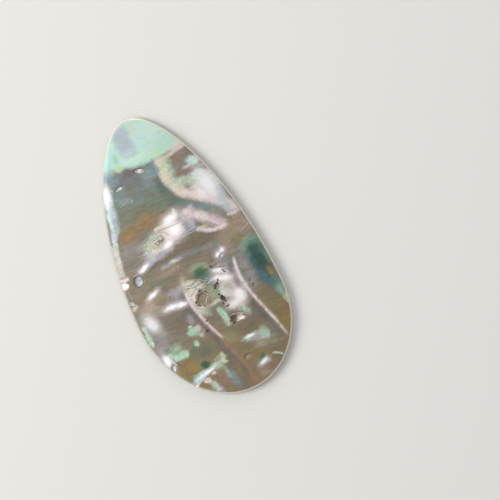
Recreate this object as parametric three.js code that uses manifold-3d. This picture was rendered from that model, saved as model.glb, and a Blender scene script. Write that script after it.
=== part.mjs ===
// A polished piece of abalone shell, cut to an egg outline.
//
// One solid. It was sawn out of the wall of a large shell, so it keeps the shell's curve: the upper
// face is a low dome, and the underside is a shallow hollow whose border was ground flat to lie still.
// The upper face keeps two growth ridges, soft ripples and the pits that boring sponges left.
//
// Units are millimetres. +Z is up and +Y points to the narrow tip. The origin is on the surface that
// the piece rests on, under the middle of its outline.
import * as THREE from "three";
import { ParametricGeometry } from "three/addons/geometries/ParametricGeometry.js";
import { mergeVertices } from "three/addons/utils/BufferGeometryUtils.js";
import Module from "manifold-3d";

// Driving dimensions.
const LENGTH = 80;
const WIDTH = 40.6;
const HEIGHT = 6.6;
const HOLLOW = 3.3; // depth of the hollow under the middle
const EDGE = 2.1; // height of the outer edge before it is rounded
const ARRIS = 0.3; // bevel between the edge and the ground border
const BORDER = 2.3; // from the outline to the inner side of the ground border
const ROUND_LEFT = { width: 2.1, drop: 0.95 }; // the left side was rounded most
const ROUND_RIGHT = { width: 0.7, drop: 0.45 };
const CROWN = new THREE.Vector2(1.5, -7); // the dome's highest place
const DOME_POWER = 0.88; // 1 is a plain paraboloid, and less is flatter on top
const FACE_MARGIN = [0.5, 4]; // from the outline: relief starts here, and is whole here

// The outline's four outermost places. It runs between them as quarter ellipses, drawn in at the tip.
const TIP = new THREE.Vector2(0, LENGTH / 2);
const RIGHT = new THREE.Vector2(WIDTH / 2, -17);
const HEEL = new THREE.Vector2(1, -LENGTH / 2);
const LEFT = new THREE.Vector2(-WIDTH / 2, -12);
const TIP_FULLNESS = 0.8; // how broad the tip is: 1 is an ellipse's end
const ELLIPSE_HANDLE = (4 / 3) * (Math.SQRT2 - 1); // a bezier handle's share of a half axis

// Growth ridges: a low step up towards +X, with a valley in front, along a smooth line.
const RIDGE_HALF_WIDTH = 0.8;
const RIDGE_FADE = 4; // a ridge sinks into the face over this length at its ends
const RIDGES = [
  {
    height: 0.26,
    line: [
      [10.9, -5],
      [10.3, -12],
      [11.4, -18],
      [13.5, -24],
      [15.2, -31],
    ],
  },
  {
    height: 0.22,
    line: [
      [-5.2, -12],
      [-3.9, -17.5],
      [-1.5, -22.5],
      [-0.1, -28],
      [2.2, -37],
    ],
  },
];

// Patches of ripples that the shell's growth left: middle, half sizes, wave length, height and turn.
const RIPPLES = [
  { at: [-9, -3], half: [13, 14], length: 5.2, height: 0.12, turn: 16 },
  { at: [6, -12], half: [5, 7], length: 2.6, height: 0.06, turn: -8 },
  { at: [9, 12], half: [8, 10], length: 7, height: 0.1, turn: -38 },
];

// Pits: place, half sizes along and across, turn in degrees and depth.
const PITS = [
  { at: [-2.3, 25.7], half: [1.4, 0.6], turn: -22, depth: 0.5 },
  { at: [-9.3, 23.6], half: [1.4, 0.55], turn: 8, depth: 0.5 },
  { at: [-15.0, -1.1], half: [1.7, 1.15], turn: 72, depth: 0.7 },
  { at: [-19.1, -5.8], half: [1.3, 0.8], turn: -50, depth: 0.6 },
  { at: [8.2, -4.1], half: [0.7, 0.5], turn: 10, depth: 0.4 },
  { at: [-1.7, -12.4], half: [2.0, 1.2], turn: 48, depth: 0.5 },
  { at: [3.8, -10.5], half: [1.2, 0.6], turn: 50, depth: 0.6 },
  { at: [3.8, -14.6], half: [1.1, 0.55], turn: -70, depth: 0.7 },
  { at: [5.1, -20.9], half: [2.1, 1.2], turn: -8, depth: 0.8 },
  { at: [-3.6, -20.9], half: [0.6, 0.5], turn: 0, depth: 0.35 },
  { at: [12.4, -13.2], half: [0.5, 0.5], turn: 0, depth: 0.35 },
  { at: [12.8, -14.8], half: [0.5, 0.45], turn: 0, depth: 0.35 },
  { at: [3.1, -31.5], half: [1.1, 0.85], turn: 15, depth: 0.4 },
  { at: [-16.2, -26.2], half: [1.1, 0.75], turn: 70, depth: 0.5 },
];

// Mesh density.
const SPOKES = 96;
const TOP_RINGS = 24;
const RING_CROWDING = 0.9; // under 1 sets the dome's rings closer together towards the edge
const HOLLOW_RINGS = 6;
const ROUND_STEPS = [0.6, 0.25, 0]; // rings on the rounding, as shares of its width from the edge
const PIT_SEGMENTS = [12, 8];
const MERGE_WITHIN = 1e-3;

const SURFACE = { color: 0x9c9484, roughness: 0.25, metalness: 0.35 };

const { degToRad, lerp, smoothstep } = THREE.MathUtils;

// The bezier handles of the quarter between an end and a side: level at the end, upright at the side.
function quarterHandles(end, side, fullness = 1) {
  return {
    level: [lerp(end.x, side.x, ELLIPSE_HANDLE * fullness), end.y],
    upright: [side.x, lerp(side.y, end.y, ELLIPSE_HANDLE)],
  };
}

function eggOutline() {
  const tipRight = quarterHandles(TIP, RIGHT, TIP_FULLNESS);
  const heelRight = quarterHandles(HEEL, RIGHT);
  const heelLeft = quarterHandles(HEEL, LEFT);
  const tipLeft = quarterHandles(TIP, LEFT, TIP_FULLNESS);
  return new THREE.Shape()
    .moveTo(...TIP)
    .bezierCurveTo(...tipRight.level, ...tipRight.upright, ...RIGHT)
    .bezierCurveTo(...heelRight.upright, ...heelRight.level, ...HEEL)
    .bezierCurveTo(...heelLeft.level, ...heelLeft.upright, ...LEFT)
    .bezierCurveTo(...tipLeft.upright, ...tipLeft.level, ...TIP)
    .getSpacedPoints(SPOKES);
}

// The step of a ridge at a place, by the distance across it, which is positive on the high side.
function ridgeHeight({ height, line, path }, x, y) {
  const start = line[0][1];
  const end = line.at(-1)[1];
  if (y > start || y < end) return 0;
  const across = (x - path.getPoint((y - start) / (end - start)).x) / RIDGE_HALF_WIDTH;
  const step = Math.exp(-Math.max(across, 0) / 4) / (1 + Math.exp(-3 * across));
  const valley = 0.35 * Math.exp(-((across + 1.2) ** 2));
  const ends = smoothstep(start - y, 0, RIDGE_FADE) * smoothstep(y - end, 0, RIDGE_FADE);
  return height * ends * (step - valley);
}

function rippleHeight({ at, half, length, height, turn }, x, y) {
  const dx = x - at[0];
  const dy = y - at[1];
  const across = dy * Math.cos(degToRad(turn)) - dx * Math.sin(degToRad(turn));
  const fade = Math.exp(-((dx / half[0]) ** 2) - (dy / half[1]) ** 2);
  return height * fade * Math.cos((2 * Math.PI * across) / length);
}

// How far the edge is rounded, by the side of the outline that a place on it is on.
function roundingAt(edge) {
  const left = smoothstep(-edge.x / (WIDTH / 2), -0.4, 0.8);
  return {
    width: lerp(ROUND_RIGHT.width, ROUND_LEFT.width, left),
    drop: lerp(ROUND_RIGHT.drop, ROUND_LEFT.drop, left),
  };
}

// The upper face on the line from the crown to a place on the outline, at a distance in from it.
function topPoint(edge, inset) {
  const { width, drop } = roundingAt(edge);
  const ratio = 1 - inset / edge.distanceTo(CROWN);
  const { x, y } = CROWN.clone().lerp(edge, ratio);
  const dome = EDGE + (HEIGHT - EDGE) * (1 - ratio ** 2) ** DOME_POWER;
  const fall = drop * (1 - Math.sqrt(1 - Math.max(0, 1 - inset / width) ** 2));
  const ridges = RIDGES.reduce((sum, ridge) => sum + ridgeHeight(ridge, x, y), 0);
  const ripples = RIPPLES.reduce((sum, ripple) => sum + rippleHeight(ripple, x, y), 0);
  const relief = (ridges + ripples) * smoothstep(inset, ...FACE_MARGIN);
  return new THREE.Vector3(x, y, dome - fall + relief);
}

function levelPoint(edge, inset, z) {
  const { x, y } = CROWN.clone().lerp(edge, 1 - inset / edge.distanceTo(CROWN));
  return new THREE.Vector3(x, y, z);
}

// The section from the crown round the edge to the middle of the underside, one function a ring.
// Each takes a place on the outline and gives the ring's point towards it.
const domeRing = (_, k) => (edge) => {
  const reach = edge.distanceTo(CROWN);
  const ratio = (k / TOP_RINGS) ** RING_CROWDING;
  return topPoint(edge, reach - ratio * (reach - roundingAt(edge).width));
};
const roundRing = (share) => (edge) => topPoint(edge, share * roundingAt(edge).width);
const hollowRing = (_, k) => (edge) => {
  const reach = edge.distanceTo(CROWN);
  const ratio = 1 - k / HOLLOW_RINGS;
  return levelPoint(edge, reach - ratio * (reach - BORDER), HOLLOW * (1 - ratio ** 2));
};
const SECTION = [
  ...Array.from({ length: TOP_RINGS + 1 }, domeRing),
  ...ROUND_STEPS.map(roundRing),
  (edge) => levelPoint(edge, 0, ARRIS),
  (edge) => levelPoint(edge, ARRIS, 0),
  ...Array.from({ length: HOLLOW_RINGS + 1 }, hollowRing),
];

function shellBlank(rim) {
  const lastRing = SECTION.length - 1;
  return new ParametricGeometry(
    (u, v, target) => {
      const edge = rim[Math.round(u * SPOKES) % SPOKES];
      target.copy(SECTION[Math.round(v * lastRing)](edge));
    },
    SPOKES,
    lastRing,
  );
}

// An ellipsoid, half sunk in the upper face, that cuts one pit.
function pitCutter(rim, { at, half, turn, depth }) {
  const place = new THREE.Vector2(...at);
  const ray = place.clone().sub(CROWN);
  const offRay = (edge) => Math.abs(edge.clone().sub(CROWN).angleTo(ray));
  const edge = rim.reduce((best, point) => (offRay(point) < offRay(best) ? point : best));
  const { z } = topPoint(edge, edge.distanceTo(CROWN) - ray.length());
  return new THREE.SphereGeometry(1, ...PIT_SEGMENTS)
    .rotateX(Math.PI / 2)
    .scale(...half, depth)
    .rotateZ(degToRad(turn))
    .translate(...at, z);
}

// A closed three.js geometry as a solid that can be cut.
function solidOf(wasm, geometry) {
  const bare = geometry.clone();
  bare.deleteAttribute("normal");
  bare.deleteAttribute("uv");
  const merged = mergeVertices(bare, MERGE_WITHIN);
  return new wasm.Manifold(
    new wasm.Mesh({
      numProp: 3,
      vertProperties: merged.attributes.position.array,
      triVerts: new Uint32Array(merged.index.array),
    }),
  );
}

function geometryOf(solid) {
  const { vertProperties, triVerts } = solid.getMesh();
  const geometry = new THREE.BufferGeometry();
  geometry.setAttribute("position", new THREE.BufferAttribute(vertProperties, 3));
  geometry.setIndex(new THREE.BufferAttribute(triVerts, 1));
  geometry.computeVertexNormals();
  return geometry;
}

const wasm = await Module();
wasm.setup();

for (const ridge of RIDGES) {
  ridge.path = new THREE.SplineCurve(ridge.line.map(([x, y]) => new THREE.Vector2(x, y)));
}

const rim = eggOutline();
const blank = solidOf(wasm, shellBlank(rim));
const pitted = PITS.reduce((left, pit) => left.subtract(solidOf(wasm, pitCutter(rim, pit))), blank);

const shell = new THREE.Mesh(geometryOf(pitted), new THREE.MeshStandardMaterial(SURFACE));
shell.name = "abalone_shell";

const group = new THREE.Group();
group.add(shell);

export default group;
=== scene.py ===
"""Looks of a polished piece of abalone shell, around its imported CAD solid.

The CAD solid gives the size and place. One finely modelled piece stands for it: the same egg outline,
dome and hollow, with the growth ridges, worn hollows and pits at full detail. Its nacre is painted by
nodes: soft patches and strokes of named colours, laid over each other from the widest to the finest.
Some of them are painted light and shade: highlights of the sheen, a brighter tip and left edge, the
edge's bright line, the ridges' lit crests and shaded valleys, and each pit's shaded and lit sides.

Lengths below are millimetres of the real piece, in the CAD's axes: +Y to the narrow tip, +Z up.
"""

import math
from collections import namedtuple

import bpy
import numpy as np
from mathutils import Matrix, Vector, geometry, kdtree, noise


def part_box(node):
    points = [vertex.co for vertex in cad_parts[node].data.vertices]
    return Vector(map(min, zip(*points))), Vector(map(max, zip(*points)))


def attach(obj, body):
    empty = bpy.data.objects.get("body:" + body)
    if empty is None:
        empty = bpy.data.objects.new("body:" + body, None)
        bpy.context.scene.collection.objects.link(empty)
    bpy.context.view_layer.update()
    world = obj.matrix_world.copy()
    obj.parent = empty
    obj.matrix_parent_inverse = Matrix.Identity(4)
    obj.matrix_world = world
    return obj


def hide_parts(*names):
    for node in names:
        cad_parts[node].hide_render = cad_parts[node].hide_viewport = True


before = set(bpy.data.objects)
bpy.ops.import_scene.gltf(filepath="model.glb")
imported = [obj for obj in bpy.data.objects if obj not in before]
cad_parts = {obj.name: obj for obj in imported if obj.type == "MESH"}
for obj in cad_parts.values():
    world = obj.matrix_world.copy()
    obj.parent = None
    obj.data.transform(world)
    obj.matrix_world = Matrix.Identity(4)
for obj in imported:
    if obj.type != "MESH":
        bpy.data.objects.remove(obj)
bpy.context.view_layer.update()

NODE = "abalone_shell"
DRAWN_LENGTH = 80
node_low, node_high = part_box(NODE)
MM = (node_high.y - node_low.y) / DRAWN_LENGTH  # metres to one drawn millimetre
CENTRE = (node_low + node_high) / 2

# ---------------------------------------------------------------------------------------------
# Dimensions. The outline, dome, edge and hollow repeat the CAD's. The relief is finer than the CAD's.
# ---------------------------------------------------------------------------------------------

HEIGHT = 6.6
HOLLOW = 3.3  # depth of the hollow under the middle
EDGE = 2.1  # height of the outer edge before it is rounded
ARRIS = 0.3  # bevel between the edge and the ground border
BORDER = 2.3  # width of the ground border
CROWN = np.array([1.5, -7.0])  # the dome's highest place
DOME_POWER = 0.88
ROUND_LEFT = (2.1, 0.95)  # width and drop of the rounded edge on the left
ROUND_RIGHT = (0.7, 0.45)
FACE_MARGIN = (0.5, 4)  # from the outline: relief starts here, and is whole here

# The outline's four outermost places. It runs between them as quarter ellipses, drawn in at the tip.
TIP_END = np.array([0.0, 40.0])
RIGHT_SIDE = np.array([20.3, -17.0])
HEEL_END = np.array([1.0, -40.0])
LEFT_SIDE = np.array([-20.3, -12.0])
TIP_FULLNESS = 0.8  # how broad the tip is: 1 is an ellipse's end
ELLIPSE_HANDLE = 4 / 3 * (math.sqrt(2) - 1)  # a bezier handle's share of a half axis

# Growth ridges: height of the step, the line that it follows down the face, and the colours of its
# crest's painted highlight above and below the place where they change. Its valley gets a painted shadow.
Ridge = namedtuple("Ridge", "height line upper lower change")
RIDGE_HALF_WIDTH = 0.8
RIDGE_FADE = 2.2
CREST_AT = 0.35  # of the crest's painted highlight and the valley's painted shadow, in half widths from the ridge's line
VALLEY_AT = -1.4
VALLEY_WIDTH = 1.1
RIDGES = [
    Ridge(
        height=0.3,
        line=[(10.8, -5), (10.3, -11), (10.9, -17), (13.3, -23.5), (15.2, -31.5)],
        upper="rose_white",
        lower="rose_cream",
        change=-26,
    ),
    Ridge(
        height=0.26,
        line=[(-4.7, -8), (-4.7, -13.5), (-3.6, -18), (-1.3, -22.8), (0.2, -28), (2.4, -38)],
        upper="rose",
        lower="ochre",
        change=-24,
    ),
]

Ripple = namedtuple("Ripple", "at half length height turn")
RIPPLES = [
    Ripple((-9, -3), (13, 14), 5.2, 0.12, 16),
    Ripple((6, -12), (5, 7), 2.6, 0.06, -8),
    Ripple((9, 12), (8, 10), 7, 0.1, -38),
]

# Pits. floor is the colour inside, painted off towards the pit's lit wall, and rough how far the outline
# strays from an oval.
Pit = namedtuple("Pit", "at half turn depth floor rough", defaults=("umber", 0.12))
PITS = [
    Pit((-2.3, 25.7), (1.7, 0.8), -22, 0.45, "pearl"),
    Pit((-9.3, 23.6), (1.5, 0.65), 8, 0.4, "pale_mint"),
    Pit((-14.9, -1.0), (1.9, 1.5), 72, 0.7, "blue_white"),
    Pit((-19.1, -5.8), (1.4, 0.85), -50, 0.4, "silver"),
    Pit((8.2, -4.1), (0.8, 0.55), 10, 0.3, "pearl"),
    Pit((-1.6, -12.3), (2.2, 1.3), 48, 0.5, "tan", 0.7),
    Pit((3.8, -10.5), (1.2, 0.45), 50, 0.5, "umber", 0.9),
    Pit((3.8, -14.6), (1.1, 0.45), -70, 0.7, "ink", 0.9),
    Pit((5.1, -20.9), (2.2, 1.35), -8, 0.8, "rose_cream", 0.4),
    Pit((-3.6, -20.9), (0.65, 0.5), 0, 0.3, "bark"),
    Pit((12.4, -13.2), (0.5, 0.5), 0, 0.3, "silver"),
    Pit((12.8, -14.8), (0.5, 0.45), 0, 0.3, "rose_tan"),
    Pit((3.1, -31.5), (1.1, 0.85), 15, 0.35, "rose_tan"),
    Pit((-16.2, -26.2), (1.3, 0.85), 70, 0.5, "pearl"),
    Pit((4.5, -5.7), (0.9, 0.25), -38, 0.3, "bark", 0.7),
    Pit((7.1, -8.1), (0.9, 0.25), -58, 0.35, "tan", 0.7),
    Pit((4.2, -17.0), (0.6, 0.22), 20, 0.3, "bark", 0.7),
    Pit((-1.1, -17.0), (0.32, 0.26), 0, 0.2, "rose_cream"),
    Pit((-2.7, -18.3), (0.36, 0.3), 0, 0.25, "bark"),
    Pit((-4.0, -24.0), (0.3, 0.22), 0, 0.15, "sage"),
    Pit((-10.2, -21.5), (0.35, 0.25), 40, 0.15, "rose_tan"),
    Pit((19.6, -22.8), (0.35, 0.7), 10, 0.25, "rose_cream"),
    Pit((-8.7, -8.4), (0.3, 0.26), 0, 0.2, "cream"),
    Pit((11.5, -8.6), (0.3, 0.5), 0, 0.2, "silver"),
    Pit((3.3, -15.9), (0.45, 0.2), 30, 0.3, "bark", 0.7),
    Pit((-3.6, -1.8), (0.7, 0.2), 6, 0.12, "cream", 0.3),
]

# Places where polishing wore through several layers, which shows as a shallow hollow in steps.
Worn = namedtuple("Worn", "at half turn depth layers")
WORN = [
    Worn((-5.6, 6.0), (4.6, 2.2), 16, 0.22, 4),
    Worn((-1.4, -12.2), (3.4, 3.0), 48, 0.26, 4),
    Worn((0.6, -8.4), (5.0, 1.5), -6, 0.12, 3),
    Worn((6.6, -9.4), (2.6, 2.2), -24, 0.14, 3),
    Worn((-8.6, -31.3), (3.2, 1.1), 22, 0.12, 2),
]

WALL_BULGE = 0.03  # of the edge, outwards
HOLLOW_STEP = 0.25  # from the border to the first ring of points in the hollow

# Mesh density.
QUARTER_STEPS = 800
OUTLINE_STEPS = 4000
COARSE = 0.25  # distance between points on the face
FINE = COARSE / 2  # the same on ridges, pits and worn places
UNDER = 0.8  # the same on the underside
RIM_POINTS = 820
ROUND_SHARES = [1, 0.8, 0.62, 0.46, 0.32, 0.2, 0.11, 0.05, 0.015]  # rings on the rounding, inwards
WALL_RINGS = 5
ARRIS_RINGS = 3
BORDER_SHARES = [0.02, 0.5, 0.97, 1]

# ---------------------------------------------------------------------------------------------
# Shape. Every function takes and gives numpy arrays of millimetres.
# ---------------------------------------------------------------------------------------------


def smoothstep(value, low, high):
    share = np.clip((value - low) / (high - low), 0, 1)
    return share * share * (3 - 2 * share)


def cloud(x, y, size, seed=0.0):
    """Smooth noise from about -1 to 1, in lumps of about this size."""
    return np.array([noise.noise(Vector((a / size, b / size, seed))) for a, b in zip(x, y)])


def turned(x, y, at, turn):
    """The places as seen from at, with the X axis turned to turn degrees."""
    cosine, sine = math.cos(math.radians(turn)), math.sin(math.radians(turn))
    dx, dy = x - at[0], y - at[1]
    return dx * cosine + dy * sine, dy * cosine - dx * sine


def oval_distance(x, y, mark):
    """0 in the middle of an oval and 1 on its outline."""
    along, across = turned(x, y, mark.at, mark.turn)
    return np.hypot(along / mark.half[0], across / mark.half[1])


def bezier(start, first, second, end, share):
    rest = 1 - share
    return (
        rest**3 * start
        + 3 * rest**2 * share * first
        + 3 * rest * share**2 * second
        + share**3 * end
    )


def quarter(end, side, fullness=1):
    """A quarter ellipse from the tip or the heel to a side: level at its end, upright at the side."""
    share = np.linspace(0, 1, QUARTER_STEPS)[:, None]
    level = end + [(side[0] - end[0]) * ELLIPSE_HANDLE * fullness, 0]
    upright = side + [0, (end[1] - side[1]) * ELLIPSE_HANDLE]
    return bezier(end, level, upright, side, share)


def egg_outline(count):
    """The outline as evenly spaced places, clockwise from the tip."""
    line = np.concatenate(
        [
            quarter(TIP_END, RIGHT_SIDE, TIP_FULLNESS),
            quarter(HEEL_END, RIGHT_SIDE)[-2::-1],
            quarter(HEEL_END, LEFT_SIDE)[1:],
            quarter(TIP_END, LEFT_SIDE, TIP_FULLNESS)[-2::-1],
        ]
    )
    walked = np.concatenate([[0], np.cumsum(np.hypot(*np.diff(line, axis=0).T))])
    stops = np.linspace(0, walked[-1], count, endpoint=False)
    return np.stack([np.interp(stops, walked, line[:, axis]) for axis in (0, 1)], axis=1)


FINE_OUTLINE = egg_outline(OUTLINE_STEPS)


def polar(x, y):
    """Direction and distance from the crown."""
    dx, dy = x - CROWN[0], y - CROWN[1]
    return np.arctan2(dy, dx), np.hypot(dx, dy)


def from_crown(x, y, ring=FINE_OUTLINE):
    """Distance from the crown, and the ring's own distance from it in the same direction."""
    angle, distance = polar(x, y)
    ring_angles, ring_distances = polar(*ring.T)
    return distance, np.interp(angle, ring_angles, ring_distances, period=2 * math.pi)


def rounding_at(edge_x):
    """Width and drop of the rounded edge where the outline is at edge_x."""
    left = smoothstep(-edge_x / node_high.x * MM, -0.4, 0.8)
    return [right + (wide - right) * left for right, wide in zip(ROUND_RIGHT, ROUND_LEFT)]


def ridge_across(ridge, x, y):
    """Distance across a ridge in half widths, positive on its high side."""
    places = np.array(ridge.line, float)
    curve = np.polyfit(places[:, 1], places[:, 0], 3)
    return (x - np.polyval(curve, y)) / RIDGE_HALF_WIDTH


def ridge_ends(ridge, y):
    """1 along a ridge, fading to 0 at both ends."""
    start, end = ridge.line[0][1], ridge.line[-1][1]
    return smoothstep(start - y, 0, RIDGE_FADE) * smoothstep(y - end, 0, RIDGE_FADE)


def ridge_height(ridge, x, y):
    across = ridge_across(ridge, x, y)
    step = np.exp(-np.maximum(across, 0) / 4) / (1 + np.exp(-3 * across))
    valley = 0.35 * np.exp(-((across + 1.2) ** 2))
    return ridge.height * ridge_ends(ridge, y) * (step - valley)


def ripple_height(ripple, x, y):
    dx, dy = x - ripple.at[0], y - ripple.at[1]
    _, across = turned(x, y, ripple.at, ripple.turn)
    fade = np.exp(-((dx / ripple.half[0]) ** 2) - (dy / ripple.half[1]) ** 2)
    return ripple.height * fade * np.cos(2 * math.pi * across / ripple.length)


def worn_share(worn, x, y):
    """1 in the middle of a worn place, 0 outside it, with a wandering outline."""
    distance = oval_distance(x, y, worn)
    near = distance < 1.6
    share = np.zeros(len(x))
    stray = 0.28 * cloud(x[near], y[near], 2.2, worn.at[0]) + 0.12 * cloud(x[near], y[near], 0.9, 3)
    share[near] = np.clip(1 - distance[near] + stray, 0, 1)
    return share


def worn_depth(worn, x, y):
    """The hollow, in as many soft steps as layers were cut through."""
    layer = worn_share(worn, x, y) * worn.layers
    step = np.floor(layer) + smoothstep(layer - np.floor(layer), 0.45, 1)
    return worn.depth * step / worn.layers


def pit_share(pit, x, y):
    """1 on a pit's floor, 0 outside it, and between them on its wall, with a wandering outline."""
    distance = oval_distance(x, y, pit)
    near = distance < 2
    share = np.zeros(len(x))
    stray = pit.rough * cloud(x[near], y[near], 0.7, pit.at[0] + pit.at[1])
    share[near] = 1 - smoothstep(distance[near] * (1 + stray), 0.5, 1.08)
    return share


def pit_depth(pit, x, y):
    floor = 1 + 0.15 * cloud(x, y, 0.8, 7)
    return pit.depth * floor * pit_share(pit, x, y)


def face_height(x, y):
    """Height of the polished upper face."""
    radius, reach = from_crown(x, y)
    ratio = np.minimum(radius / reach, 1)
    inset = reach - radius
    width, drop = rounding_at(CROWN[0] + (x - CROWN[0]) / np.maximum(ratio, 1e-6))
    dome = EDGE + (HEIGHT - EDGE) * (1 - ratio**2) ** DOME_POWER
    fall = drop * (1 - np.sqrt(1 - np.clip(1 - inset / width, 0, 1) ** 2))
    relief = sum(ridge_height(ridge, x, y) for ridge in RIDGES)
    relief = relief + sum(ripple_height(ripple, x, y) for ripple in RIPPLES)
    relief = relief + 0.03 * cloud(x, y, 3.2, 11) + 0.008 * cloud(x, y, 0.9, 12)
    relief = relief - sum(worn_depth(worn, x, y) for worn in WORN)
    cut = sum(pit_depth(pit, x, y) for pit in PITS)
    return dome - fall + relief * smoothstep(inset, *FACE_MARGIN) - cut * smoothstep(inset, 0.1, 0.6)


def hollow_height(x, y):
    """Height of the underside's hollow."""
    radius, reach = from_crown(x, y)
    ratio = np.minimum(radius / (reach - BORDER), 1)
    waves = 0.12 * cloud(x, y, 9, 21) + 0.04 * cloud(x, y, 3, 22)
    return HOLLOW * (1 - ratio**2) + waves * smoothstep(1 - ratio, 0, 0.15)


def layer_count(x, y):
    """How many growth layers the face has cut through at each place, for their fine lines."""
    count = 5 * cloud(x / 1.6, y, 13, 31) + 1.6 * cloud(x, y, 5, 32)
    for ridge in RIDGES:
        across = ridge_across(ridge, x, y)
        count = count + 2.2 * ridge_ends(ridge, y) * np.exp(-(across**2) / 6)
    return count


def worn_layers(x, y):
    """How many layers deep the worn places are. Their edges show at whole numbers."""
    return sum(worn.layers * worn_share(worn, x, y) for worn in WORN)


def ridge_crest_highlight(ridge, x, y):
    """1 on the painted highlight along a ridge's crest, which varies in width, and 0 off it."""
    width = 0.55 + 0.25 * cloud(x, y, 2.6, 41)
    return ridge_ends(ridge, y) * np.exp(-(((ridge_across(ridge, x, y) - CREST_AT) / width) ** 2))


def ridge_valley_shadow(ridge, x, y):
    """1 on the painted shadow in the valley on a ridge's low side, and 0 off it."""
    across = (ridge_across(ridge, x, y) - VALLEY_AT) / VALLEY_WIDTH
    return ridge_ends(ridge, y) * np.exp(-(across**2))


# ---------------------------------------------------------------------------------------------
# Mesh
# ---------------------------------------------------------------------------------------------


def is_detailed(x, y):
    """True where the face needs the fine spacing."""
    found = np.zeros(len(x), bool)
    for pit in PITS:
        found |= oval_distance(x, y, pit) < 1 + 0.5 / min(pit.half)
    for worn in WORN:
        found |= oval_distance(x, y, worn) < 1.1
    for ridge in RIDGES:
        found |= (np.abs(ridge_across(ridge, x, y)) < 2.2) & (ridge_ends(ridge, y) > 0)
    return found


def lattice(spacing):
    """Triangular lattice over the outline, and which of its points a lattice twice as wide has too."""
    rows = int(DRAWN_LENGTH / spacing)
    across, up = np.meshgrid(np.arange(-rows, rows), np.arange(-rows, rows))
    across, up = across.ravel(), up.ravel()
    x = spacing * (across + up / 2)
    y = spacing * up * math.sqrt(3) / 2
    keep = (np.abs(x) < node_high.x / MM) & (np.abs(y) < DRAWN_LENGTH / 2)
    wide = (across % 2 == 0) & (up % 2 == 0)
    return x[keep], y[keep], wide[keep]


def inside_ring(ring, x, y, gap):
    """True for places inside a ring of points round the crown by more than gap."""
    distance, reach = from_crown(x, y, ring)
    return distance < reach - gap


def filled(ring, inner):
    """Triangles over a ring and the places inside it. The ring's points come first."""
    places = [Vector(place) for place in np.concatenate([ring, inner])]
    points, _, faces, *_ = geometry.delaunay_2d_cdt(places, [], [], 0, 1e-7)
    if len(points) != len(places):
        raise ValueError("the triangulation merged or added points")
    return faces


def section_rings():
    """Rings round the edge, from the face over the wall to the hollow: places and heights."""
    rim = egg_outline(RIM_POINTS)
    reach = np.hypot(*(rim - CROWN).T)
    width, _ = rounding_at(rim[:, 0])

    def ring_at(inset):
        return CROWN + (rim - CROWN) * (1 - inset / reach)[:, None]

    def ring_on(surface, inset):
        places = ring_at(inset)
        return places, surface(*places.T)

    def ring_up(height, inset):
        return ring_at(inset), np.full(RIM_POINTS, height)

    rings = [ring_on(face_height, share * width) for share in ROUND_SHARES]
    _, shoulder = ring_on(face_height, 1e-4)
    for share in np.linspace(0, 1, WALL_RINGS):
        inset = WALL_BULGE - WALL_BULGE * math.sin(math.pi * share)
        rings.append(ring_up(shoulder + (ARRIS - shoulder) * share, inset))
    for angle in np.linspace(0, math.pi / 2, ARRIS_RINGS + 1)[1:]:
        inset = WALL_BULGE + ARRIS * (1 - math.cos(angle))
        rings.append(ring_up(ARRIS * (1 - math.sin(angle)), inset))
    rings += [ring_up(0.0, ARRIS + (BORDER - ARRIS) * share) for share in BORDER_SHARES]
    rings.append(ring_on(hollow_height, BORDER + HOLLOW_STEP))
    return rings


def outline_distance(x, y):
    """Distance to the nearest place on the outline."""
    tree = kdtree.KDTree(len(FINE_OUTLINE))
    for index, (a, b) in enumerate(FINE_OUTLINE):
        tree.insert(Vector((a, b, 0)), index)
    tree.balance()
    return np.array([tree.find(Vector((a, b, 0)))[2] for a, b in zip(x, y)])


def surface_facts(x, y):
    """What the materials read at each point of the mesh, by attribute name."""
    facts = {"rim": outline_distance(x, y), "layers": layer_count(x, y), "worn": worn_layers(x, y)}
    facts["pit"] = np.max([pit_share(pit, x, y) for pit in PITS], axis=0)
    for index, ridge in enumerate(RIDGES):
        facts[f"crest_{index}"] = ridge_crest_highlight(ridge, x, y)
        facts[f"valley_{index}"] = ridge_valley_shadow(ridge, x, y)
    return facts


def face_places(ring):
    """Points on the face inside a ring: a wide lattice, and a finer one where there is detail."""
    x, y, wide = lattice(FINE)
    keep = inside_ring(ring, x, y, COARSE * 0.6)
    x, y, wide = x[keep], y[keep], wide[keep]
    keep = wide | is_detailed(x, y)
    return np.stack([x[keep], y[keep]], axis=1)


def under_places(ring):
    """Points on the underside inside a ring."""
    x, y, _ = lattice(UNDER)
    keep = inside_ring(ring, x, y, UNDER * 0.5)
    return np.stack([x[keep], y[keep]], axis=1)


def cap_faces(ring, inner, ring_start, inner_start):
    """Triangles over a ring and the places inside it, by their numbers in the mesh."""
    numbers = [*range(ring_start, ring_start + len(ring)), *range(inner_start, inner_start + len(inner))]
    return [[numbers[corner] for corner in face] for face in filled(ring, inner)]


def band_faces(band):
    """The faces between one ring and the next."""
    inner, outer = band * RIM_POINTS, (band + 1) * RIM_POINTS
    turns = [(i, (i + 1) % RIM_POINTS) for i in range(RIM_POINTS)]
    return [[inner + i, inner + j, outer + j, outer + i] for i, j in turns]


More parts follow.
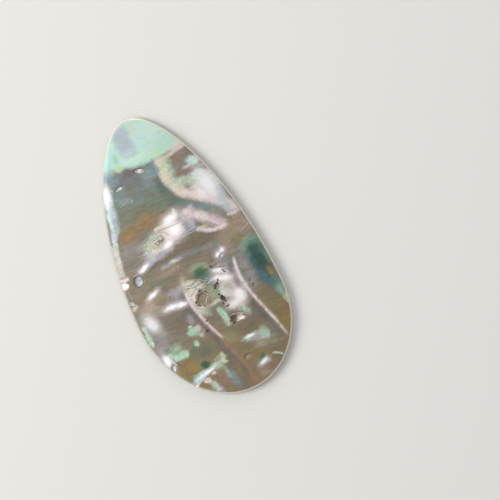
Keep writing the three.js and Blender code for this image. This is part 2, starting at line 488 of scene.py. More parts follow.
def shell_mesh():
    """The whole piece. Material 0 is the face, 1 the cut edge and 2 the hollow."""
    rings = section_rings()
    face = face_places(rings[0][0])
    under = under_places(rings[-1][0])
    places = np.concatenate([*(ring for ring, _ in rings), face, under])
    heights = [*(height for _, height in rings), face_height(*face.T), hollow_height(*under.T)]

    last = len(rings) - 1
    face_start = len(rings) * RIM_POINTS
    bottom = cap_faces(rings[last][0], under, last * RIM_POINTS, face_start + len(face))
    faces = cap_faces(rings[0][0], face, 0, face_start)
    slots = [0] * len(faces)
    faces += [triangle[::-1] for triangle in bottom]
    slots += [2] * len(bottom)
    for band in range(last):
        faces += band_faces(band)
        slots += [0 if band < len(ROUND_SHARES) - 1 else 1 if band < last - 1 else 2] * RIM_POINTS

    mesh = bpy.data.meshes.new("abalone_nacre")
    corners = np.column_stack([places, np.concatenate(heights)]) * MM
    mesh.from_pydata(corners.tolist(), [], faces)
    mesh.polygons.foreach_set("material_index", slots)
    mesh.polygons.foreach_set("use_smooth", [True] * len(faces))
    for name, values in surface_facts(*places.T).items():
        mesh.attributes.new(name, "FLOAT", "POINT").data.foreach_set("value", values.astype(np.float32))
    mesh.validate()
    mesh.update()
    return mesh


# ---------------------------------------------------------------------------------------------
# Node helpers
# ---------------------------------------------------------------------------------------------


class Nodes:
    """Adds nodes to one tree. Sockets and plain values can be mixed as inputs."""

    def __init__(self, tree):
        self.tree = tree

    def add(self, kind, inputs=None, **settings):
        made = self.tree.nodes.new(kind)
        for name, value in settings.items():
            setattr(made, name, value)
        self.give(made, inputs or {})
        return made

    def give(self, node, inputs):
        """Links or sets the node's inputs, by name or number."""
        for socket, value in inputs.items():
            if isinstance(value, bpy.types.NodeSocket):
                self.tree.links.new(value, node.inputs[socket])
            else:
                node.inputs[socket].default_value = value

    def math(self, operation, a, b=0.0):
        return self.add("ShaderNodeMath", {0: a, 1: b}, operation=operation).outputs[0]

    def product(self, a, b):
        return self.math("MULTIPLY", a, b)

    def wave(self, value, turns):
        """A sine wave, with this many turns to each 1 of the value."""
        return self.math("SINE", self.product(value, 2 * math.pi * turns))

    def sum_of(self, a, b, c):
        """a times b, plus c."""
        return self.add("ShaderNodeMath", {0: a, 1: b, 2: c}, operation="MULTIPLY_ADD").outputs[0]

    def vector(self, operation, a, b=(0, 0, 0)):
        made = self.add("ShaderNodeVectorMath", {0: a, 1: b}, operation=operation)
        return made.outputs["Value" if operation in ("LENGTH", "DOT_PRODUCT") else "Vector"]

    def scaled(self, vector, scale):
        made = self.add("ShaderNodeVectorMath", {0: vector, "Scale": scale}, operation="SCALE")
        return made.outputs["Vector"]

    def fade(self, value, start, end, low=0.0, high=1.0):
        """A smooth step from low, where value is start, to high, where it is end.

        The node's own clamp stays off: it would cost a long chain of marks more stack than there is.
        """
        inputs = {"Value": value, 1: start, 2: end, 3: low, 4: high}
        made = self.add("ShaderNodeMapRange", inputs, interpolation_type="SMOOTHSTEP", clamp=False)
        return made.outputs["Result"]

    def between(self, value, low, high):
        """The value, kept from low to high."""
        return self.math("MINIMUM", self.math("MAXIMUM", value, low), high)

    def part(self, vector, axis):
        """The vector's X, Y or Z."""
        return self.add("ShaderNodeSeparateXYZ", {0: vector}).outputs[axis]

    def noise(self, place, scale, detail=2.0, output="Fac"):
        inputs = {"Vector": place, "Scale": scale, "Detail": detail}
        return self.add("ShaderNodeTexNoise", inputs).outputs[output]

    def stretched_noise(self, place, closeness, scale, detail):
        """Noise whose lumps lie closer in X and Y by the two numbers of closeness."""
        return self.noise(self.vector("MULTIPLY", place, (*closeness, 1)), scale, detail)

    def bump(self, height, strength, depth):
        """A bent normal for a relief this many drawn millimetres deep."""
        inputs = {"Strength": strength, "Distance": depth * MM, "Height": height}
        return self.add("ShaderNodeBump", inputs).outputs["Normal"]

    def fact(self, name):
        """One of the mesh's own numbers, as surface_facts gives them."""
        return self.add("ShaderNodeAttribute", attribute_name=name).outputs["Fac"]

    def mix(self, share, under, over, blend="MIX"):
        made = self.add("ShaderNodeMix", data_type="RGBA", blend_type=blend)
        self.give(made, {0: share, 6: under, 7: over})
        return made.outputs[2]

    def ramp(self, value, stops):
        """A colour ramp. stops are (place, web code)."""
        made = self.add("ShaderNodeValToRGB", {"Fac": value})
        elements = made.color_ramp.elements
        while len(elements) < len(stops):
            elements.new(1.0)
        for element, (place, code) in zip(elements, stops):
            element.position = place
            element.color = colour(code)
        return made.outputs["Color"]


def colour(name):
    """A colour from its name in the palette, or from its six-digit web code."""
    code = PALETTE.get(name, name)
    channels = [int(code[i : i + 2], 16) / 255 for i in (0, 2, 4)]
    linear = [c / 12.92 if c <= 0.04045 else ((c + 0.055) / 1.055) ** 2.4 for c in channels]
    return (*linear, 1.0)


def new_group(name, inputs, output):
    """A node group with these inputs, as (name, kind, default). Gives it and its helpers."""
    tree = bpy.data.node_groups.new(name, "ShaderNodeTree")
    for socket, kind, default in inputs:
        made = tree.interface.new_socket(socket, in_out="INPUT", socket_type=kind)
        made.default_value = default
    tree.interface.new_socket(output[0], in_out="OUTPUT", socket_type=output[1])
    nodes = Nodes(tree)
    return nodes, nodes.add("NodeGroupInput").outputs, nodes.add("NodeGroupOutput").inputs


VECTOR = "NodeSocketVector"
FLOAT = "NodeSocketFloat"


def mask_group(name, own_inputs, outward):
    """How much of a mark covers a place. outward gives 0 in the mark's middle and 1 on its outline."""
    nodes, given, result = new_group(
        name,
        [
            ("Place", VECTOR, (0, 0, 0)),
            *own_inputs,
            ("Ragged", FLOAT, 0.0),
            ("Fray", FLOAT, 1.0),
            ("Outer", FLOAT, 1.0),
            ("Inner", FLOAT, 0.5),
            ("Strength", FLOAT, 1.0),
        ],
        ("Mask", FLOAT),
    )
    distance = nodes.sum_of(given["Ragged"], given["Fray"], outward(nodes, given))
    mask = nodes.fade(distance, given["Outer"], given["Inner"])
    nodes.tree.links.new(nodes.product(mask, given["Strength"]), result["Mask"])
    return nodes.tree


def oval_outward(nodes, given):
    """0 in an oval's middle. Along and Across point along its axes, as long as 1 over its half sizes."""
    offset = nodes.vector("SUBTRACT", given["Place"], given["Centre"])
    along = nodes.vector("DOT_PRODUCT", offset, given["Along"])
    across = nodes.vector("DOT_PRODUCT", offset, given["Across"])
    squares = nodes.math("ADD", nodes.product(along, along), nodes.product(across, across))
    return nodes.math("SQRT", squares)


def stroke_outward(nodes, given):
    """0 on the line of a straight stroke with round ends."""
    offset = nodes.vector("SUBTRACT", given["Place"], given["From"])
    whole = nodes.vector("SUBTRACT", given["To"], given["From"])
    dot = nodes.vector("DOT_PRODUCT", offset, whole)
    share = nodes.math("DIVIDE", dot, nodes.vector("DOT_PRODUCT", whole, whole))
    nearest = nodes.scaled(whole, nodes.between(share, 0.0, 1.0))
    distance = nodes.vector("LENGTH", nodes.vector("SUBTRACT", offset, nearest))
    return nodes.math("DIVIDE", distance, given["Width"])


def mask_groups():
    oval = [("Centre", VECTOR, (0, 0, 0)), ("Along", VECTOR, (1, 0, 0)), ("Across", VECTOR, (0, 1, 0))]
    stroke = [("From", VECTOR, (0, 0, 0)), ("To", VECTOR, (1, 0, 0)), ("Width", FLOAT, 0.5)]
    return {
        "patch": mask_group("Oval patch", oval, oval_outward),
        "stroke": mask_group("Straight stroke", stroke, stroke_outward),
    }


# ---------------------------------------------------------------------------------------------
# Markings. Colours have names; a patch is an oval, and a stroke follows a line.
# ---------------------------------------------------------------------------------------------

PALETTE = {
    "white": "FFFDFE",
    "pearl": "E6E8E8",
    "blue_white": "C4D2DC",
    "rose_white": "EEDFDF",
    "mint": "BEE6D6",
    "pale_mint": "D0ECE0",
    "aqua": "B2E2D9",
    "ice": "CCE9E6",
    "lime": "C2E8BC",
    "lime_cream": "C6DCAC",
    "leaf_mint": "A8D6BA",
    "sage_cream": "B9CBB0",
    "sage": "98A688",
    "cream": "DAD4C0",
    "rose_cream": "E2D1C8",
    "rose": "E2CAD0",
    "lilac": "ABA6B2",
    "lilac_white": "D6D2DE",
    "lilac_grey": "B0BEC9",
    "slate_blue": "7E909E",
    "slate": "7C9096",
    "violet_grey": "757679",
    "dim_violet": "6A6668",
    "sea_grey": "71857E",
    "sea_dark": "587064",
    "silver": "B4B8AF",
    "grey": "93908D",
    "warm_grey": "8A8682",
    "olive_grey": "757965",
    "umber": "776B59",
    "bark": "5C4C3C",
    "brown": "857A6A",
    "russet": "90766A",
    "tan": "9C8C78",
    "rose_tan": "AB9788",
    "olive_tan": "8E7C50",
    "gold": "967E46",
    "ochre": "8F7350",
    "orange": "B48254",
    "olive": "98945F",
    "khaki": "93A080",
    "leaf": "567A54",
    "deep_leaf": "345A3A",
    "pine": "2C4E48",
    "teal": "4C7E72",
    "sea_blue": "47707A",
    "sea_green": "64907C",
    "pale_teal": "8FB4A6",
    "ink": "2A241E",
    # a painted line of light along the edge
    "rim_light_gold": "E9DFC8",
}

# at is the middle, half the half sizes along and across, and turn the angle of the first in degrees.
# A stroke's width is measured from its line to its edge. soft is the width of the fade, as a share of
# the half size or the width; at its middle the mark is half there.
Patch = namedtuple("Patch", "colour at half turn soft strength", defaults=(0, 0.9, 1))
Stroke = namedtuple("Stroke", "colour line width soft strength", defaults=(1, 1))

# Where marks lie: the place, moved a little by noise, and how far the silky grain frays their edges.
Field = namedtuple("Field", "place ragged")

PIT_LIGHT_SHIFT = (0.34, -0.24)  # from a pit's middle to its floor's colour, towards the wall that faces the light, as a share of its size: painted light and shade

# A painted highlight: a bright place of the nacre's sheen, with a halo round it.
Highlight = namedtuple("Highlight", "at half turn halo strength", defaults=(0, "lilac_white", 1))
HALO_SPREAD = (1.6, 1.9)  # the halo's size as a share of the highlight's, along and across

GROUND = "brown"


def pit_marks():
    """A soft mark in each pit in its floor's colour, moved towards the wall that faces the light, so the
    other side stays dark as painted shade.
    """
    marks = []
    for pit in PITS:
        size = sum(pit.half) / 2
        at = (pit.at[0] + PIT_LIGHT_SHIFT[0] * size, pit.at[1] + PIT_LIGHT_SHIFT[1] * size)
        marks.append(Patch(pit.floor, at, pit.half, pit.turn, soft=1.2, strength=0.9))
    return marks


FIELDS = [
    # the grey-green upper middle, and the brown that it turns into
    Patch("sea_grey", (-3, 19), (10, 8), 0, 0.7),
    Patch("slate_blue", (-10.5, 27), (3, 3), 30, 0.9),
    Patch("violet_grey", (-4.6, 25.2), (4, 2.4), 0, 1),
    Patch("slate", (0.4, 24.6), (2.6, 3.2), 0, 1),
    Patch("silver", (0.6, 22.6), (1.6, 2), 0, 1.6, 0.3),
    Patch("slate", (-9.4, 21.6), (2.4, 2), 0, 1.5, 0.6),
    Patch("violet_grey", (-4.6, 21.4), (3.8, 1.4), 3, 1.2, 0.7),
    Patch("slate", (-0.4, 21.6), (2.2, 1.6), 0, 1.2, 0.7),
    Patch("sea_dark", (1.9, 17.6), (1.5, 5), 8, 1.2, 0.8),
    Patch("sea_dark", (4, 13.4), (3, 1.8), -20, 1.2, 0.8),
    Patch("olive_grey", (-6, 15.4), (7, 2.4), 0, 1.2),
    Patch("olive_tan", (-6, 12.4), (7, 2), 0, 1.2, 0.9),
    Patch("ochre", (-5.4, 12.8), (1.6, 1.8), 0, 1.4, 0.7),
    Patch("ochre", (-12.4, 11), (3.6, 1.8), 8, 1.2),
    Patch("brown", (-14.6, 9), (1.4, 3), -10, 1.2, 0.8),
    Patch("warm_grey", (-12.4, 6), (4, 3), 0, 1.2),
    Patch("olive_grey", (-13, 3.6), (2.4, 0.9), 0, 1.4, 0.6),
    # the right flank
    Patch("warm_grey", (9, 23.4), (4.2, 4), -20, 0.6),
    Patch("pearl", (12.6, 15.4), (3.4, 5.4), 14, 0.6),
    Patch("slate", (9.4, 10), (5.4, 1.8), -32, 1),
    Patch("grey", (12.6, 7.2), (2.4, 2.2), -30, 1, 0.8),
    Patch("slate", (3.4, 7.6), (2, 3.8), 0, 1),
    # the brown middle and the tan right of it
    Patch("umber", (4, 2), (6, 2.4), -6, 1),
    Patch("brown", (4, -2), (9, 2.4), -4, 1),
    Patch("tan", (12, -1), (2.8, 4), 10, 1),
    Patch("rose_tan", (16.6, 1.6), (3, 2.8), 0, 1),
    Patch("tan", (16, -1.6), (3, 1.6), 0, 1.2),
    Patch("brown", (-8, -2.4), (10, 2), 6, 1, 0.8),
    Patch("olive_grey", (-10.4, -3.4), (4, 1.6), 12, 1.2, 0.8),
    Patch("rose_tan", (-14.6, -9), (3.4, 3), 30, 1.2, 0.9),
    Patch("tan", (-10.6, -8.6), (2.4, 1.2), 20, 1.4, 0.7),
    Patch("grey", (12.6, -10.6), (2, 5.6), 0, 0.8),
    Patch("grey", (7, -7), (3, 2.4), 0, 1, 0.9),
    # the left lower middle
    Patch("umber", (-9, -15.6), (4.4, 2.6), 0, 1.2, 0.8),
    Patch("grey", (-16.2, -17.5), (3, 4), 0, 1.2, 0.9),
    Patch("brown", (-10.8, -19.6), (3.4, 2.4), 0, 1.2, 0.9),
    Patch("lilac", (-6.6, -8.6), (2.2, 1.8), 0, 1.2, 0.8),
    # the broad end
    Patch("olive_tan", (1, -31), (17, 9), 0, 0.6, 0.9),
    Patch("olive_tan", (15.6, -22), (3, 6.6), 12, 0.6),
    Patch("gold", (17, -26.4), (2, 4), -14, 1, 0.9),
    Patch("umber", (10.2, -21.4), (2, 4), 14, 1, 0.8),
    Patch("umber", (6.6, -24.4), (4, 1.8), 0, 1.2, 0.7),
    Patch("sea_dark", (-7, -24.8), (3.6, 1.4), 0, 1.4, 0.6),
    Patch("ochre", (-11.4, -26.2), (3.4, 0.8), 6, 1.2, 0.7),
    Patch("gold", (-12, -28.2), (3.4, 1.6), 0, 1, 0.9),
    Patch("umber", (-1.7, -29), (1.5, 6), 4, 1, 0.9),
    Patch("umber", (-1.2, -37), (2, 2.6), 0, 1.2, 0.6),
    Patch("russet", (-5.6, -34), (3, 2.6), 0, 1.2, 0.6),
    Patch("russet", (7.4, -36.2), (3.6, 1.4), -8, 1.2, 0.7),
]

# The mint tip: the nacre's own colour, painted brighter as the sheen that the tip reflects.
TIP_COLOUR_AND_SHEEN = [
    Patch("mint", (1.2, 37.5), (16.8, 10.7), -3, 0.14),
    Patch("ice", (4, 34.6), (5, 5), 0, 1.4, 0.6),
    Patch("rose_white", (10.2, 27.8), (2.2, 0.9), 14, 1.4, 0.8),
    Patch("aqua", (-9, 31.6), (2.4, 3.4), -30, 1.2, 0.9),
    Patch("pale_mint", (6, 35.2), (2.6, 2.6), -40, 1.4, 0.8),
    Patch("lilac_grey", (-3, 34.2), (2.4, 4.2), 4, 0.9, 0.9),
    Patch("lilac_grey", (-2.8, 37.6), (2.2, 2.2), 0, 1.2, 0.75),
    Patch("blue_white", (-3.4, 39), (3.2, 0.9), 12, 1.4, 0.8),
    Patch("blue_white", (-2.4, 31), (2, 1), 0, 1.4, 0.7),
    Patch("cream", (0.7, 37.4), (0.8, 2.6), 0, 1.5, 0.7),
    Patch("sage", (-6.8, 31), (0.6, 1.2), 0, 1.6, 0.45),
    Patch("lime", (3.8, 28.4), (2.6, 1), 6, 1.5, 0.8),
    Patch("pale_mint", (-1.8, 29.2), (3.2, 0.8), 0, 1.4, 0.9),
    Patch("lime_cream", (-7.1, 28.5), (0.9, 1), 0, 1.3, 0.85),
]

UPPER_MIDDLE = [
    Patch("slate_blue", (2, 24.6), (0.7, 2), 4, 1.4, 0.7),
    Patch("dim_violet", (-5, 26.4), (1.8, 0.8), 0, 1.4, 0.6),
    Patch("dim_violet", (-8, 24.6), (1.6, 0.8), 20, 1.4, 0.4),
    Patch("grey", (-8.6, 19.8), (2, 1), 0, 1.6, 0.4),
    Patch("russet", (-2.6, 11.6), (2.2, 0.8), 0, 1.6, 0.5),
    Patch("orange", (-12.6, 10.6), (1.8, 0.7), 14, 1.6, 0.35),
    Patch("orange", (-5.6, 13.4), (0.7, 1), 0, 1.6, 0.3),
    Patch("brown", (-16.2, 4), (1, 2), 0, 1.4, 0.7),
]

RIGHT_FLANK = [
    Patch("gold", (9, 24.6), (3, 1.3), 8, 1.4, 0.35),
    Stroke("rose_cream", [(3.2, 26), (6, 26), (9, 26.8), (12, 27.3)], 0.55, 1.4, 0.85),
    Stroke("sage_cream", [(4.4, 25), (4.4, 21), (5.8, 17.6)], 1.7, 1.4, 0.85),
    Stroke("cream", [(3.5, 25.8), (3.4, 21.4), (4.2, 18.2), (6.2, 15.6)], 1.1, 1.6, 0.85),
    Patch("rose_cream", (3, 21), (0.9, 1.4), 0, 1.6, 0.7),
    Patch("lime_cream", (4, 23.4), (0.9, 1.6), 0, 1.6, 0.6),
    Patch("russet", (8.4, 20.3), (2.6, 1), -4, 1.4, 0.9),
    Stroke("russet", [(10, 20.1), (12.4, 20), (14.4, 18.8)], 0.45, 1.4, 0.8),
    Patch("ice", (12, 22.3), (1.6, 1.2), -20, 1.2),
    Patch("pearl", (9.8, 21.6), (1.2, 0.4), 10, 1.6, 0.6),
    Patch("sage_cream", (9, 18), (2.4, 1.1), -24, 1.4, 0.9),
    Patch("ice", (11.8, 18.4), (1.7, 1.2), 0, 1.4, 0.8),
    Patch("sage_cream", (9.6, 15.6), (1, 1.8), -20, 1.5, 0.5),
    Patch("white", (12.4, 15), (1.8, 3), 10, 1.5, 0.8),
    Patch("ice", (10.8, 14.2), (0.8, 1.8), 0, 1.5, 0.5),
    Patch("blue_white", (15.2, 12.6), (0.9, 3), 12, 1.5, 0.7),
    Patch("rose_white", (14.4, 17.6), (0.8, 1.2), 10, 1.5, 0.7),
    Patch("lilac_grey", (14.4, 10.6), (1, 1.8), 10, 1.4, 0.5),
    Stroke("rose_cream", [(4.8, 16.6), (7.2, 14.4), (9.6, 12.7), (12, 11), (13.8, 9.4)], 1.1, 1.6, 0.9),
    Stroke("rose_white", [(6.4, 15.4), (9.4, 13)], 0.6, 1.6, 0.6),
    Patch("rose", (12.6, 10.8), (1.8, 0.8), -44, 1.5, 0.6),
    Patch("rose", (4.9, 10.2), (1.8, 1.4), 10, 1.3, 0.9),
    Patch("rose_white", (4.6, 10.4), (1, 0.8), 10, 1.5, 0.6),
    Patch("rose", (4.4, 7.6), (0.9, 1.8), 0, 1.6, 0.5),
    Stroke("rose", [(6.2, 9.2), (8, 7.4), (10, 5.4), (12.2, 3.6)], 1.25, 1.7, 0.9),
    Stroke("rose_white", [(6.8, 8.8), (8.6, 6.8)], 0.7, 1.6, 0.8),
    Patch("cream", (8, 8), (0.9, 0.7), 0, 1.6, 0.5),
    Stroke("rose_white", [(5.6, 4.9), (7.6, 3.6), (9.6, 2.9), (12, 2.9)], 0.55, 1.7, 0.85),
    Patch("lime_cream", (7, 4.9), (1.3, 0.4), -16, 1.5, 0.6),
    Stroke("slate", [(8.2, 5.8), (10.4, 4.1)], 0.25, 1.4, 0.6),
    Patch("blue_white", (15.2, 8), (1.3, 2.6), 10, 1.4, 0.9),
    Patch("rose_white", (16.6, 7), (0.8, 2.2), 12, 1.4, 0.8),
    Patch("rose", (16.4, 5.1), (1.9, 0.6), 0, 1.3, 0.95),
    Patch("olive", (12.2, 7.2), (1, 0.8), -30, 1.6, 0.4),
    Patch("olive", (13.9, 0.6), (0.8, 2.6), 4, 1.5, 0.8),
    Patch("gold", (14.9, -2.6), (1, 1.1), 0, 1.5, 0.8),
    Patch("orange", (14.2, 3), (1.4, 0.7), 0, 1.6, 0.3),
    Patch("grey", (7.2, -0.6), (2, 1.1), 0, 1.6, 0.7),
    Patch("violet_grey", (7.6, -1.4), (0.9, 0.5), 0, 1.6, 0.5),
]

# The bright band along the rounded left edge: a painted reflection of the light on the rounding, in the
# nacre's own blue, aqua, lilac and rose tints.
LEFT_EDGE_SHEEN = [
    Patch("pearl", (-13, 23.2), (1.2, 2.2), -14, 1.5, 0.9),
    Stroke("blue_white", [(-13.4, 21.4), (-14.2, 18)], 1, 1.5, 0.8),
    Stroke("lilac_grey", [(-13.6, 17.8), (-14.4, 14)], 0.9, 1.4, 0.7),
    Stroke("aqua", [(-15, 18.2), (-15.1, 16), (-15.3, 14.4)], 0.5, 1.6, 0.75),
    Stroke("lilac_grey", [(-15.6, 13), (-16.6, 10.4)], 0.8, 1.2, 0.9),
    Stroke("lime_cream", [(-16.2, 10.4), (-16.5, 8.6)], 0.3, 1.6, 0.6),
    Stroke("silver", [(-17.2, 9.6), (-17.8, 5)], 0.9, 1, 0.95),
    Stroke("silver", [(-17.9, 5), (-18.4, 2.6)], 1, 1.2, 0.8),
    Stroke("rose", [(-19, 0.9), (-17.4, 0.7)], 0.5, 1.4, 0.8),
    Patch("white", (-18.9, -0.8), (0.9, 0.9), -30, 1),
]

TEAL_SPOT = [
    Patch("pale_teal", (17.2, -4.9), (3.2, 2.4), 0, 1.1, 0.8),
    Patch("sea_green", (17.4, -6.4), (2.9, 3.4), 0, 1.1, 0.9),
    Patch("sea_blue", (16.4, -11.4), (2, 5.6), 6, 1, 0.9),
    Patch("sea_green", (18.8, -16.4), (1.5, 3.6), 10, 1.1, 0.8),
    Patch("sea_blue", (17, -15.6), (1.2, 2), 40, 1.3, 0.7),
    Patch("pine", (17, -8.6), (1.8, 3.4), 0, 1.5, 0.95),
    Patch("pine", (16.8, -5.8), (2.2, 0.6), 4, 1.5, 0.7),
    Patch("sea_blue", (18.6, -7.2), (1, 0.6), 4, 1.6, 0.6),
    Patch("sea_green", (19.3, -9.4), (0.5, 2), 0, 1.6, 0.8),
    Patch("pine", (18, -11.8), (1, 2.4), 14, 1.5, 0.9),
    Stroke("pine", [(15.8, -5), (16.4, -9), (17.4, -14.6)], 0.4, 1.6, 0.6),
    Patch("gold", (18.4, -13.3), (0.8, 1.5), 14, 1.5, 0.8),
    Patch("orange", (18.6, -13.9), (0.4, 0.7), 14, 1.6, 0.5),
    Patch("pale_teal", (18.8, -18.8), (1, 1.4), 0, 1.4, 0.8),
    Patch("sage_cream", (19.2, -21.2), (0.7, 1.2), 0, 1.3, 0.8),
    Patch("rose_cream", (19.4, -22.6), (0.5, 0.7), 0, 1.2, 0.8),
]

MIDDLE = [
    Patch("sage_cream", (-2.8, -7.4), (2.4, 0.8), -4, 1.2, 0.95),
    Patch("cream", (-3.6, -10.4), (1.3, 4.4), 4, 1.2, 0.95),
    Patch("cream", (-1.4, -9.4), (2.2, 1), 14, 1.4, 0.8),
    Patch("cream", (-2.6, -14.4), (1.8, 1), 30, 1.2, 0.7),
    Patch("tan", (-1, -12.2), (1.9, 1.5), 48, 0.7),
    Patch("sage", (2, -12.2), (1.2, 2.6), 0, 1.3, 0.85),
    Patch("sage_cream", (1.6, -14.8), (1.8, 0.5), 8, 1.2, 0.8),
    Patch("sage_cream", (-2, -16), (1.4, 1), -40, 1.2, 0.6),
    Patch("brown", (1, -16.2), (1.4, 0.6), 20, 1.4, 0.7),
    Patch("khaki", (1.3, -4.8), (2.9, 1.5), -10, 0.8, 0.9),
    Patch("leaf", (1.2, -5.8), (1.9, 1.3), -6, 1),
    Patch("leaf", (2, -7), (1.6, 1.4), 0, 1.2, 0.8),
    Patch("deep_leaf", (1, -6), (1.6, 1.1), 0, 1.5, 0.75),
    Patch("teal", (2.4, -8.3), (1.5, 1.4), 0, 1.2),
    Patch("rose_white", (6.8, -12.4), (2.4, 4.6), 6, 1.5, 0.7),
    Patch("rose_tan", (6.4, -12.8), (1.4, 1.4), 0, 1.5, 0.6),
    Patch("pearl", (5.2, -13.4), (1, 1.2), 0, 1.4, 0.6),
    Patch("ice", (4.4, -12.6), (0.6, 0.8), 0, 1.4, 0.7),
    Patch("lilac", (9, -9.6), (0.8, 4), 0, 1.2, 0.9),
    Patch("lilac", (9.6, -14), (0.5, 2.4), 0, 1.4, 0.8),
    Patch("pearl", (6.2, -16.6), (2, 0.9), 14, 1.5, 0.8),
    Patch("lilac_white", (5.4, -17.6), (1.4, 0.8), 0, 1.4, 0.5),
    Stroke("pearl", [(4.6, -8.3), (7.2, -9)], 0.22, 1.4, 0.7),
    Stroke("bark", [(4.4, -8), (6.8, -8.5)], 0.16, 1.4, 0.5),
    Patch("rose_tan", (10.6, -3.4), (1.4, 1.4), 0, 1.4, 0.5),
]

WORN_UPPER = [
    Patch("silver", (-4.6, 6.4), (6.2, 2.9), 15, 0.9, 0.85),
    Patch("cream", (-7.4, 5.2), (2.2, 1.5), 10, 1.4, 0.7),
    Patch("sage_cream", (-6.2, 6.8), (3, 1), 16, 1.3, 0.7),
    Patch("rose_white", (-1.2, 7), (2.8, 2.2), 20, 1.3, 0.9),
    Stroke("rose_cream", [(-5, 9.3), (-2, 9.8)], 0.5, 1.5, 0.8),
    Patch("rose_cream", (-5.6, 3.9), (2.8, 0.7), 8, 1.5, 0.8),
    Patch("russet", (-5.2, 6.1), (1.7, 0.7), 14, 1.2, 0.85),
    Patch("umber", (-4.6, 6.4), (0.8, 0.35), 14, 1.4, 0.7),
    Stroke("lime_cream", [(1.2, 10.9), (1.5, 11.6), (1.8, 12.3)], 0.32, 1.1, 0.95),
    Stroke("lilac", [(-10.4, 2.3), (-7, 2.7), (-3.4, 3.4)], 0.85, 1.4, 0.9),
    Stroke("lilac_grey", [(-9, 4.2), (-9, 2.8)], 0.8, 1.6, 0.5),
    Stroke("umber", [(-14, 0.2), (-9, 0.9), (-3, 1.6), (2, 2)], 0.45, 1.6, 0.7),
    Stroke("lilac_grey", [(-7.4, -0.5), (-2, 0.1)], 0.5, 1.8, 0.45),
    Patch("pearl", (-3.9, -0.1), (1, 0.35), 0, 1.6, 0.5),
    Stroke("slate", [(-1, 0.3), (5, -0.4)], 0.5, 1.6, 0.5),
    Patch("rose_tan", (-6, -2.2), (3, 0.9), 6, 1.6, 0.6),
    Patch("russet", (-4, -4.6), (2.4, 1.4), 0, 1.6, 0.3),
]

LEFT_MIDDLE = [
    # a painted sheen of light on the left slope
    Patch("pearl", (-16.6, -12.8), (1.2, 1.8), 20, 1.7, 0.45),
    Patch("silver", (-18.9, -7.2), (1, 0.6), 10, 1, 0.9),
    Patch("olive_grey", (-18.8, -10.4), (0.8, 1.4), 0, 1.2, 0.9),
    Patch("sea_dark", (-6.6, -14), (1.2, 1.2), 20, 1.6, 0.5),
    Patch("sea_dark", (-8.8, -6.2), (1, 0.7), 20, 1.6, 0.4),
    Patch("lilac", (-6.4, -16), (1, 1.4), 0, 1.4, 0.6),
    Patch("rose_tan", (-4.6, -8.4), (1, 1.6), 0, 1.6, 0.4),
    Stroke("leaf_mint", [(-18.9, -13.2), (-18.8, -18.2)], 0.55, 1.4, 0.9),
    Patch("leaf_mint", (-7.2, -19.4), (1.4, 1.1), 0, 1.3, 0.95),
    Patch("lime_cream", (-7.4, -17.9), (0.5, 0.4), 0, 1.2, 0.7),
    Patch("lime_cream", (-5.6, -20.8), (0.5, 0.8), 30, 1.2, 0.6),
    Patch("leaf_mint", (-7.8, -22.6), (0.6, 0.8), 0, 1.1, 0.95),
    Stroke("leaf_mint", [(-15.8, -22.4), (-14.4, -24)], 0.7, 1.2, 0.9),
    Stroke("leaf_mint", [(-14, -24), (-11.6, -24)], 0.95, 0.9, 0.95),
    Patch("leaf_mint", (-13.4, -22), (1.4, 1.4), 0, 1.6, 0.5),
    Stroke("rose_cream", [(-16, -23.6), (-15.2, -25.6)], 0.22, 1.2, 0.8),
    Patch("rose", (-5.4, -19), (0.9, 0.7), -30, 1.4, 0.7),
    Patch("rose", (-4.6, -20.4), (0.4, 0.4), 0, 1.4, 0.5),
]

